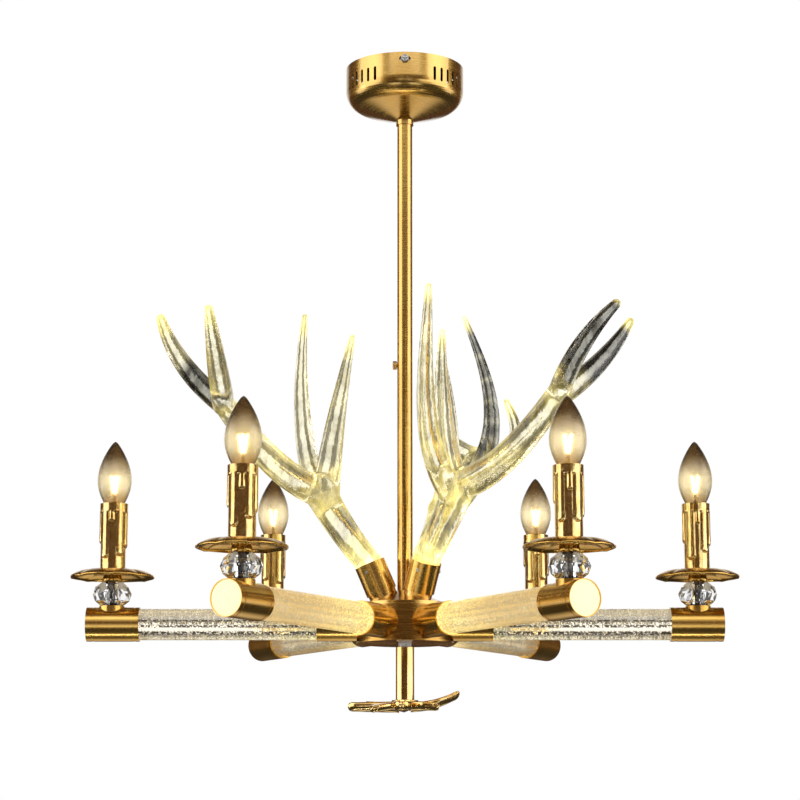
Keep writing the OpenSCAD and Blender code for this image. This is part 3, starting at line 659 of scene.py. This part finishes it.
def make_sleeves(material):
    """Sleeves dipped like candles: a thick lip, and runs of wax with round ends."""
    height = SLEEVE_TOP - SLEEVE_FOOT
    for arm in ARMS:
        runs = []
        for k, (facing, width, length) in enumerate(SLEEVE_RUNS):
            drift = math.sin(2.3 * k + 1.7 * arm)
            angle = math.radians(facing - 90 - 60 * (arm - 1) + 3 * drift)
            runs.append((angle, length + 3 * drift, width))

        def wax(r, z, angle):
            if r < SLEEVE_R - 0.5:
                return r, z
            drop = height - z
            lift = 1.35 * math.sqrt(max(0.0, 1 - (max(0.0, drop - 7) / 3) ** 2)) if drop < 10 else 0.0
            for centre, length, width in runs:
                turn = (angle - centre + math.pi) % (2 * math.pi) - math.pi
                side = abs(turn) * SLEEVE_R
                past = max(0.0, drop - length)
                bulb = 1 + 0.12 * math.exp(-(((drop - length) / 5) ** 2))
                reach = math.hypot(side / (width * bulb), past / (width * 1.1))
                if reach < 1:
                    lift = max(lift, 1.5 * bulb * math.sqrt(1 - reach * reach))
            ripple = 0.08 * noise.noise(Vector((angle * 3, z * 0.1, arm)))
            return r + lift + ripple, z

        outer = [(SLEEVE_R, height * k / 96) for k in range(97)]
        inner = [(SLEEVE_R - 0.8, height), (SLEEVE_R - 1, height - 1), (SLEEVE_R - 1, 0)]
        place = candle_place(arm) @ Matrix.Translation((0, 0, SLEEVE_FOOT))
        build = Build()
        build.lathe(outer + inner, 120, place, wax, loop=True)
        build.make(
            f"wax_sleeve_{arm}", "frame", material, [f"candle_sleeve_{arm}"], 60
        )


def glass_radius(u):
    """Radius of the flame lamp's glass at a share of its height."""
    widest = 0.39
    if u < widest:
        return 9 + (LAMP_R - 9) * math.sin(math.pi / 2 * u / widest)
    return 0.8 + (LAMP_R - 0.8) * math.cos(math.pi / 2 * (u - widest) / (1 - widest)) ** 0.85


def make_lamps(envelope, metal, filament, stem_glass):
    steps = 40
    outside = [(glass_radius(k / steps), LAMP_GLASS_L * k / steps) for k in range(steps)]
    outside.append((0, LAMP_GLASS_L))
    inside = [(max(r - 0.9, 0.3), z * 0.985 + 0.3) for r, z in reversed(outside[:-1])]
    inside[0] = (0, LAMP_GLASS_L - 1.4)

    def thread(r, z, angle):
        if -21 < z < -4:
            r += 0.45 * math.sin(2 * math.pi * z / 2.82 - angle) - 0.45
        return r, z

    base = [(0, -27.7), (2.4, -27.7), (3.6, -26.6), (4.5, -25), (6.0, -23), (6.9, -21.5)]
    base += [(6.9, -21 + 0.35 * k) for k in range(50)]
    base += [(6.9, -3.2), (8.6, -2.4), (9.3, -1.6), (9.5, -0.2), (9.3, 1.2), (8.4, 1.3), (0, 1.3)]
    for arm in ARMS:
        body = f"lamp_{arm}"
        place = candle_place(arm) @ Matrix.Translation((0, 0, LAMP_FOOT))
        build = Build()
        build.lathe(outside, 56, place)
        build.lathe(inside[:-1] + [(8.1, 1.0), (0, 1.0)], 56, place)
        build.make(f"lamp_glass_{arm}", body, envelope, [f"lamp_{arm}"], 60)
        build = Build()
        build.lathe(base, 40, place, thread)
        build.make(f"lamp_base_{arm}", body, metal, (), 40)
        build = Build()
        build.lathe([(0, 1.4), (3.2, 1.4), (2.6, 4), (1.6, 7), (1.4, 11), (0, 12)], 24, place)
        build.make(f"lamp_stem_{arm}", body, stem_glass, (), 60)
        build = Build()
        for k in range(4):
            lean = Matrix.Rotation(math.radians(9), 4, "Y")
            spot = place @ turned(90 * k + 25) @ Matrix.Translation((1.5, 0, 14)) @ lean
            build.lathe([(0, 0), (0.8, 0.6), (0.8, 17.4), (0, 18)], 10, spot)
        build.make(f"lamp_filament_{arm}", body, filament, (), 60)


def make_crystals(material):
    """Cut balls with a bore: rings of corners, each turned half a step against the next."""
    count = 14
    rows = [(11, 0), (17.4, 5.2), (20, 12.25), (17.4, 19.3), (11, 24.5)]
    build = Build()
    for arm in ARMS:
        place = candle_place(arm) @ Matrix.Translation((0, 0, BALL_FOOT))
        verts = []
        for index, (r, z) in enumerate(rows):
            for k in range(count):
                angle = 2 * math.pi * (k + 0.5 * (index % 2)) / count
                verts.append((r * math.cos(angle), r * math.sin(angle), z))
        faces = []
        for index in range(len(rows) - 1):
            a, b = index * count, (index + 1) * count
            for k in range(count):
                nxt = (k + 1) % count
                if index % 2 == 0:
                    faces += [(a + k, a + nxt, b + k), (b + k, a + nxt, b + nxt)]
                else:
                    faces += [(a + k, b + nxt, b + k), (a + k, a + nxt, b + nxt)]
        bore = len(verts)
        for z in (0, BALL_H):
            for k in range(count):
                angle = 2 * math.pi * k / count
                verts.append((BALL_BORE_R * math.cos(angle), BALL_BORE_R * math.sin(angle), z))
        top = (len(rows) - 1) * count
        for k in range(count):
            nxt = (k + 1) % count
            faces.append((k, bore + k, bore + nxt, nxt))
            faces.append((top + k, top + nxt, bore + count + nxt, bore + count + k))
            faces.append((bore + k, bore + count + k, bore + count + nxt, bore + nxt))
        build.add(verts, faces, place)
    build.make("cut_crystals", "frame", material, ["crystal_balls"], 0)


def threaded(build, place, radius, bore, length, pitch, sides=28):
    """Threaded tube or rod that rises along Z."""
    rows = int(length / pitch * 5)

    def crest(r, z, angle):
        if r < radius - 1:
            return r, z
        turn = (z / pitch - angle / (2 * math.pi)) % 1
        return r - 0.9 * abs(turn - 0.5), z

    outer = [(radius, length * k / rows) for k in range(rows + 1)]
    if bore:
        build.lathe(outer + [(bore, length), (bore, 0)], sides, place, crest, loop=True)
    else:
        build.lathe([(0, 0)] + outer + [(0, length)], sides, place, crest)


def make_threads(bright, dark):
    """The dark rods through the balls and the bright tube under the hub."""
    build = Build()
    low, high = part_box("candle_rods")
    for arm in ARMS:
        place = candle_place(arm) @ Matrix.Translation((0, 0, ARM_Z + 8))
        threaded(build, place, 4.9, 0, (high.z - low.z) / MM, 1.5)
    build.make("candle_threads", "frame", dark, ["candle_rods"], 30)
    low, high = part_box("finial_nipple")
    build = Build()
    place = Matrix.Translation((0, 0, low.z / MM))
    threaded(build, place, 6.85, 4, (high.z - low.z) / MM, 1.25, 40)
    build.make("finial_thread", "frame", bright, ["finial_nipple"], 30)


def make_screws(metal, brass):
    """Knurled canopy screws with a cross recess, and the stem's small thumb screw."""
    seat = CANOPY_SCREW_SEAT

    def knurl(r, z, angle):
        if seat + 0.2 < z < seat + 2.6 and r > 3.8:
            r -= 0.16 * (1 + math.cos(30 * angle))
        if z > seat + 2 and r < 2.7:
            near = min(abs(r * math.sin(angle)), abs(r * math.cos(angle)))
            if near < 0.5:
                z -= 1.1
        return r, z

    head = [(2, 0), (3.8, 0), (4.0, 0.3), (4.0, 1.0), (4.0, 1.8), (4.0, 2.5), (3.7, 2.9), (3.2, 3.0)]
    head += [(0.4 * k, 3.0 - 0.02 * k) for k in range(7, 0, -1)] + [(0, 2.8)]
    profile = [(0, 58.6), (2, 58.6)] + [(r, seat + z) for r, z in head]
    for name, angle in (("front", -90), ("back", 90)):
        outwards = Matrix.Rotation(math.pi / 2, 4, "Y")
        place = turned(angle) @ Matrix.Translation((0, 0, CANOPY_SCREW_Z)) @ outwards
        build = Build()
        build.lathe(profile, 120, place, knurl)
        node = f"canopy_screw_{name}"
        build.make(f"knurled_screw_{name}", node, metal, [node], 30)

    def coin(r, z, angle):
        return (r - 0.14 * (1 + math.cos(24 * angle)), z) if r > 4.4 else (r, z)

    place = Matrix.Translation((0, 0, STEM_SCREW_Z)) @ Matrix.Rotation(-math.pi / 2, 4, "Y")
    profile = [(0, 5.9), (2, 5.9), (2, 8.3), (3.8, 8.3), (4.4, 8.7), (4.5, 9.4), (4.5, 11.8)]
    profile += [(4.2, 12.5), (3.2, 12.8), (1.5, 12.8), (1.2, 12.5), (0, 12.5)]
    build = Build()
    build.lathe(profile, 96, place, coin)
    build.make("stem_thumb_screw", "stem_screw", brass, ["stem_screw"], 40)


def leaf_half_width(half, u, round_tip):
    """Half width at the share u of the leaf's length."""
    if round_tip:
        width = half * math.sqrt(max(0.04, 1 - (2 * u - 1) ** 2))
    else:
        width = half * (0.15 + 0.85 * math.sin(math.pi * u**0.7) * (1 - 0.3 * u))
    return width * (1 + 0.03 * math.sin(14 * u))


def leaf_height(rise, thick, u, v, side):
    """Height of the upper face (side 1) or lower face (side -1); v goes from edge to edge."""
    end = math.sqrt(max(0.0, 1 - max(0.0, (u - 0.9) / 0.1) ** 2))
    plump = (0.1 + 0.95 * math.sqrt(1 - min(1.0, v * v) ** 2)) * (1.06 - 0.2 * u)
    body = side * thick / 2 * plump * (0.2 + 0.8 * end)
    hollow = 0.14 * thick * (1 - v * v) ** 2 * math.sin(math.pi * u) if side > 0 else 0
    vein = 0.14 * math.cos(20 * (u - 0.45 * abs(v))) * (1 - v * v) * min(1, 5 * u)
    rib = 0.4 * math.exp(-((v * 6) ** 2)) * (1 - u)
    return rise * u * u + 1.5 * v * v + body - hollow + side * (vein * 0.6 + rib)


def ring_centre(ring):
    return tuple(sum((Vector(p) for p in ring), Vector()) / len(ring))


def make_leaves(material):
    """Thick cast leaves with a hollow face, a rib and side veins, round a small rosette."""
    along, across = 40, 24
    build = Build()
    for turn, height, length, half, rise, thick, round_tip in LEAVES:
        place = turned(turn) @ Matrix.Translation((6, 0, LEAVES_Z + height))
        rings = []
        for i in range(along + 1):
            u = i / along
            width = leaf_half_width(half, u, round_tip)
            ring = []
            for side in (1, -1):
                for k in range(across + 1):
                    v = side * math.cos(math.pi * k / across)
                    ring.append((length * u, width * v, leaf_height(rise, thick, u, v, side)))
            rings.append(ring)
        build.rings([[ring_centre(rings[0])]] + rings + [[ring_centre(rings[-1])]], place)

    def rosette(r, z, angle):
        return (r * (1 + 0.06 * math.cos(8 * angle)), z) if r > 9.5 else (r, z)

    boss = [(0, -1.5), (4, -1.2), (8, 0.2), (11, 0.6), (13, 1.6), (13.4, 3), (12.6, 4.6), (10, 5), (0, 5)]
    build.lathe(boss, 96, Matrix.Translation((0, 0, LEAVES_Z)), rosette)
    build.make("leaf_spray", "finial", material, ["finial_ornament"], 45)


def make_rods(materials):
    """Clear rods with a small chamfer; seeds of air lie inside in lengthwise rows."""
    rows = (20, 38, 75, 100, 125, 148, 235, 260, 285, 322)
    pitch = 2.7
    chamfer = 0.6
    profile = [(0, ROD_START), (ROD_R - chamfer, ROD_START), (ROD_R, ROD_START + chamfer)]
    profile += [(ROD_R, reach) for reach in (130, 190, 240, ROD_END - chamfer)]
    profile += [(ROD_R - chamfer, ROD_END), (0, ROD_END)]

    def seed(size):
        """Small closed air bubble, drawn out along the rod."""
        ends = []
        for lift, lean in ((0.6, 0.0), (-0.6, math.pi / 5)):
            angles = [2 * math.pi * k / 5 + lean for k in range(5)]
            girth = 0.9 * size
            ends.append([(girth * math.cos(a), girth * math.sin(a), lift * size) for a in angles])
        return [[(0, 0, 1.4 * size)]] + ends + [[(0, 0, -1.4 * size)]]

    for arm in ARMS:
        build = Build()
        place = arm_place(arm) @ Matrix.Rotation(math.pi / 2, 4, "Y")
        build.lathe(profile, 96, place)
        dice = random.Random(arm)
        for row in rows:
            along = ROD_START + 4 + pitch * dice.random()
            while along < ROD_END - 6:
                angle = math.radians(row + dice.uniform(-3.5, 3.5))
                depth = ROD_R * dice.uniform(0.72, 0.88)
                spot = Matrix.Translation((depth * math.cos(angle), depth * math.sin(angle), along))
                build.rings(seed(dice.uniform(0.45, 1.0)), place @ spot)
                along += pitch * dice.uniform(0.6, 1.4)
        build.make(
            f"bubble_rod_{arm}", "frame", materials[arm], [f"arm_rod_{arm}"], 60
        )


def paint_cad(materials):
    """Gives every CAD node that still shows its material."""
    for name, material in materials.items():
        data = nodes[name].data
        data.materials.clear()
        data.materials.append(material)


def flat_piece(name, corners, material):
    """One flat face of the room round the object."""
    data = bpy.data.meshes.new(name)
    data.from_pydata(corners, [], [tuple(range(len(corners)))])
    made = bpy.data.objects.new(name, data)
    scene.collection.objects.link(made)
    data.materials.append(material)


def one_sided(name):
    """Material seen from its front only; gives its graph and a call that ends it."""
    material = bpy.data.materials.new(name)
    material.use_nodes = True
    graph = Graph(material.node_tree)
    graph.tree.nodes.clear()

    def close(front):
        clear = graph.add("BsdfTransparent").outputs[0]
        behind = graph.add("NewGeometry").outputs["Backfacing"]
        both = graph.add("MixShader", {0: behind, 1: front, 2: clear}).outputs[0]
        graph.add("OutputMaterial", {"Surface": both})
        return material

    return graph, close


def make_floor():
    """Pale floor well below the lamp, seen from above only; metal sees it dim but for two pools."""
    size = 6.0
    drop = -2.4
    graph, close = one_sided("pale_floor")
    path = graph.add("LightPath").outputs
    where = graph.stretch(graph.add("NewGeometry").outputs["Position"], (1, 1, 0))

    # Pools of light on it, one right below the lamp and a brighter one behind.
    away = graph.add("VectorMath", {0: where}, operation="LENGTH").outputs["Value"]
    below = graph.fit(away, 0.25, 0.85, 0.14, 0.05)
    middle = (0, 2.1, 0)
    off = graph.add("VectorMath", {0: where, 1: middle}, operation="DISTANCE").outputs["Value"]
    behind = graph.fit(off, 0.7, 1.6, 0.85, 0.05)
    pool = graph.math("MAXIMUM", below, behind)
    through_glass = 0.42
    mirrored = graph.add("Mix", {0: path["Is Transmission Ray"], 2: pool, 3: through_glass}).outputs[0]
    shown = graph.add("Emission", {"Color": (1.0, 0.9, 0.7, 1), "Strength": mirrored}).outputs[0]

    pale = graph.add("BsdfDiffuse", {"Color": (0.86, 0.86, 0.85, 1)}).outputs[0]
    lift = graph.add("Emission", {"Color": (1, 1, 1, 1), "Strength": 0.4}).outputs[0]
    seen = graph.add("AddShader", {0: pale, 1: lift}).outputs[0]
    clear_or_metal = graph.math("MAXIMUM", path["Is Glossy Ray"], path["Is Transmission Ray"])
    other = graph.add("MixShader", {0: clear_or_metal, 1: pale, 2: shown}).outputs[0]
    top = graph.add("MixShader", {0: path["Is Camera Ray"], 1: other, 2: seen}).outputs[0]
    corners = [(-size, -size, drop), (size, -size, drop), (size, size, drop), (-size, size, drop)]
    flat_piece("floor", corners, close(top))


def make_ceiling():
    """Shaded patch of ceiling that closes the canopy's hollow, seen from below only."""
    graph, close = one_sided("shaded_ceiling")
    dim = graph.add("BsdfDiffuse", {"Color": (0.05, 0.04, 0.03, 1)}).outputs[0]
    sides = 48
    radius = 60.5 * MM
    height = 0.6 * MM
    turns = [-2 * math.pi * k / sides for k in range(sides)]
    corners = [(radius * math.cos(a), radius * math.sin(a), height) for a in turns]
    flat_piece("ceiling", corners, close(dim))


def seen_through_glass(graph, way, parts):
    """Bright and dark bands and upright flags, which draw the lines along clear pieces."""
    wobble = graph.math("MULTIPLY", graph.math("SUBTRACT", graph.noise(way, 5.0, 3.0), 0.5), 0.22)
    uneven = graph.math("ADD", parts["Z"], wobble)
    bands = graph.add("ValToRGB", {"Fac": graph.fit(uneven, -1.0, 1.0)})
    ramp = bands.color_ramp
    ramp.interpolation = "EASE"

    # Height of the direction, from -1 straight down to 1 straight up, and its brightness.
    levels = [
        (-0.8, 0.75), (-0.66, 0.3), (-0.3, 0.4), (-0.14, 0.3), (-0.09, 0.05), (-0.04, 0.06),
        (0.0, 1.0), (0.27, 1.0), (0.42, 0.85), (0.47, 0.03), (0.66, 0.03), (0.76, 0.8), (0.95, 0.5),
    ]
    while len(ramp.elements) < len(levels):
        ramp.elements.new(1.0)
    for element, (height, level) in zip(ramp.elements, levels):
        element.position = (height + 1) / 2
        element.color = (level, level, level, 1)
    turn = graph.math("ARCTAN2", parts["Y"], parts["X"])
    swing = graph.math("MULTIPLY", graph.math("SUBTRACT", graph.noise(way, 3.0, 2.0), 0.5), 2.4)
    flags = graph.math("SINE", graph.math("ADD", graph.math("MULTIPLY", turn, 9.0), swing))
    return graph.math("MULTIPLY", bands.outputs["Color"], graph.fit(flags, -0.5, 0.1, 0.12, 1.0))


def seen_in_metal(graph, parts):
    """Dim warm room with a pale backdrop behind, and a band and two low cards in front."""
    lift = parts["Z"]
    backdrop = graph.math("MULTIPLY", graph.fit(parts["Y"], 0.72, 0.93), graph.fit(lift, 0.0, 0.1))
    band = graph.math("MULTIPLY", graph.fit(lift, 0.22, 0.5), graph.fit(lift, 0.76, 0.58))
    aside = graph.math("ABSOLUTE", parts["X"])
    narrow = graph.math("MULTIPLY", graph.fit(aside, 0.06, 0.1), graph.fit(aside, 0.22, 0.16))
    low = graph.math("MULTIPLY", graph.fit(lift, -0.3, -0.2), graph.fit(lift, 0.01, -0.05))
    cards = graph.math("MULTIPLY", narrow, low)
    pale = graph.math("MAXIMUM", graph.math("MULTIPLY", band, 0.9), cards)
    in_front = graph.fit(parts["Y"], -0.1, -0.4)
    light = graph.math("ADD", backdrop, graph.math("MULTIPLY", pale, in_front), clamp=True)
    return graph.mix(light, (0.085, 0.042, 0.022, 1), (1, 1, 1, 1))


def make_world():
    """White studio for the camera and even light for dull surfaces."""
    world = bpy.data.worlds.new("studio")
    scene.world = world
    world.use_nodes = True
    graph = Graph(world.node_tree)
    graph.tree.nodes.clear()
    way = graph.add("TexCoord").outputs["Generated"]
    parts = graph.add("SeparateXYZ", {0: way}).outputs
    path = graph.add("LightPath").outputs
    spread = (0.5, 0.5, 0.5, 1)
    level = graph.mix(path["Is Glossy Ray"], spread, seen_in_metal(graph, parts))
    level = graph.mix(path["Is Transmission Ray"], level, seen_through_glass(graph, way, parts))
    level = graph.mix(path["Is Camera Ray"], level, (1, 1, 1, 1))
    back = graph.add("Background", {"Color": level, "Strength": 1.0}).outputs[0]
    graph.add("OutputWorld", {"Surface": back})


def make_lights():
    """Large soft boxes at the sides and in front, a low strip, and small ones for highlights."""

    # Name, place, width, height and power in watts.
    boxes = [
        ("left_box", (-2.25, -0.75, 0.0), 2.3, 2.0, 25),
        ("right_box", (2.25, -0.85, 0.0), 2.1, 2.0, 24),
        ("left_wall", (-2.2, 0.35, -0.8), 1.1, 0.8, 3.6),
        ("right_wall", (2.2, 0.35, -0.8), 1.1, 0.8, 3.6),
        ("front_box", (0.0, -1.75, 0.98), 2.2, 0.8, 6.5),
        ("low_box", (0.0, -0.36, -2.25), 1.8, 0.12, 5),
        ("left_lamp", (-0.44, -1.1, -0.94), 0.5, 0.24, 0.5),
        ("right_lamp", (0.44, -1.1, -0.94), 0.5, 0.24, 0.5),
        ("right_front", (0.96, -1.28, -0.45), 0.5, 0.36, 0.9),
    ]
    aim = Vector((0, 0, -0.45))
    for name, spot, width, height, watts in boxes:
        data = bpy.data.lights.new(name, "AREA")
        data.shape = "RECTANGLE"
        data.size = width
        data.size_y = height
        data.energy = watts
        made = bpy.data.objects.new(name, data)
        scene.collection.objects.link(made)
        made.location = spot
        made.rotation_euler = (aim - Vector(spot)).to_track_quat("-Z", "Y").to_euler()
        made.visible_camera = False


make_camera()
scene.view_settings.view_transform = "Standard"
make_world()
make_lights()
make_floor()
make_ceiling()

BRASS = {"light": (0.86, 0.55, 0.14, 1), "dark": (0.62, 0.35, 0.06, 1)}
# Painted shade: a darker copy of the brass for the pans.
SHADED_DISH_BRASS = {"light": (0.74, 0.46, 0.11, 1), "dark": (0.5, 0.28, 0.05, 1)}
# Painted shade: a darker copy of the brass for the hub.
SHADED_BRASS = {"light": (0.6, 0.35, 0.08, 1), "dark": (0.4, 0.21, 0.035, 1)}
GOLD = {"light": (0.95, 0.70, 0.28, 1), "dark": (0.78, 0.50, 0.13, 1)}
brass_up = brushed_metal("brushed_brass_upright", **BRASS, grain=along_stem)
brass_arm = brushed_metal(
    "brushed_brass_arm", **BRASS, grain=along_arm, low=0.2, high=0.28, anisotropic=0.2, share=0.1, coat=0.3
)
# Painted shade: the hub's brass is the darker copy.
shaded_hub_brass = brushed_metal(
    "shaded_brass_hub", **SHADED_BRASS, grain=along_stem, low=0.18, high=0.3, share=0.4, coat=0.3
)
cup_brass = cast_gold("cup_brass", **BRASS, size=40.0, depth=0.0001, low=0.2, high=0.28, coat=0.3)
# Painted shade: the pans' brass is the darker copy.
shaded_dish_brass = cast_gold("shaded_dish_brass", **SHADED_DISH_BRASS, size=70.0, depth=0.0004, low=0.16, high=0.3, coat=0.2)
gold = cast_gold("polished_gold", **GOLD, size=120.0, depth=0.0006)
gold_cast = cast_gold("cast_gold", **GOLD, size=150.0, depth=0.0006, low=0.08, high=0.2)
finial_gold = cast_gold("finial_gold", **GOLD, size=60.0, depth=0.0001, low=0.1, high=0.16)
bright_steel = steel("bright_steel", (0.46, 0.46, 0.45, 1), (0.72, 0.71, 0.68, 1))
blued_steel = steel("blued_steel", (0.03, 0.028, 0.026, 1), (0.12, 0.11, 0.1, 1))
pale_steel = steel(
    "pale_steel", (0.86, 0.86, 0.85, 1), (0.96, 0.96, 0.94, 1), low=0.4, high=0.5, metallic=0.2
)
white_plastic = plastic("white_plastic")
lit_disc = lit_plastic("lit_disc", (0.9, 0.82, 0.42, 1), strength=0.95)
led = lit_plastic("led_module", (1.0, 0.84, 0.42, 1), strength=3.0)
acrylic = clear_acrylic("clear_acrylic")
crystal = glass("cut_crystal", (0.99, 0.99, 0.99, 1), CRYSTAL_IOR)
envelope = smoked_glass("smoked_lamp_glass")
stem_glass = glass("lamp_stem_glass", (0.98, 0.95, 0.88, 1), GLASS_IOR, roughness=0.1)
filament = filament_material("lamp_filament")
rods = {arm: bubbled_acrylic(f"bubbled_acrylic_{arm}", ROD_GLOW[arm]) for arm in ARMS}

make_antler(1, ANTLER, acrylic)
make_antler(2, ANTLER, acrylic)
make_antler(3, BACK_ANTLER, acrylic)
make_rods(rods)
make_pans(shaded_dish_brass)
make_sleeves(gold)
make_lamps(envelope, brass_up, filament, stem_glass)
make_crystals(crystal)
make_threads(pale_steel, blued_steel)
make_screws(bright_steel, brass_up)
make_leaves(gold_cast)

upright = ["canopy", "canopy_collar", "stem_tube", "hub_cover"]
on_arms = ["arm_sockets"] + [f"arm_cap_{arm}" for arm in ARMS]
plain_steel = ["ceiling_bracket", "hang_nuts", "hang_nipple", "hub_nut", "antler_screws"]
paint_cad({name: brass_up for name in upright})
paint_cad({name: shaded_hub_brass for name in ("hub_drum", "hub_plate")})
paint_cad({name: brass_arm for name in on_arms})
paint_cad({name: bright_steel for name in plain_steel})
paint_cad({name: white_plastic for name in ("led_driver", "terminal_block", "lamp_holders")})
paint_cad({"finial_tube": finial_gold, "antler_cups": cup_brass, "end_discs": lit_disc})
paint_cad({"arm_leds": led, "antler_leds": led})
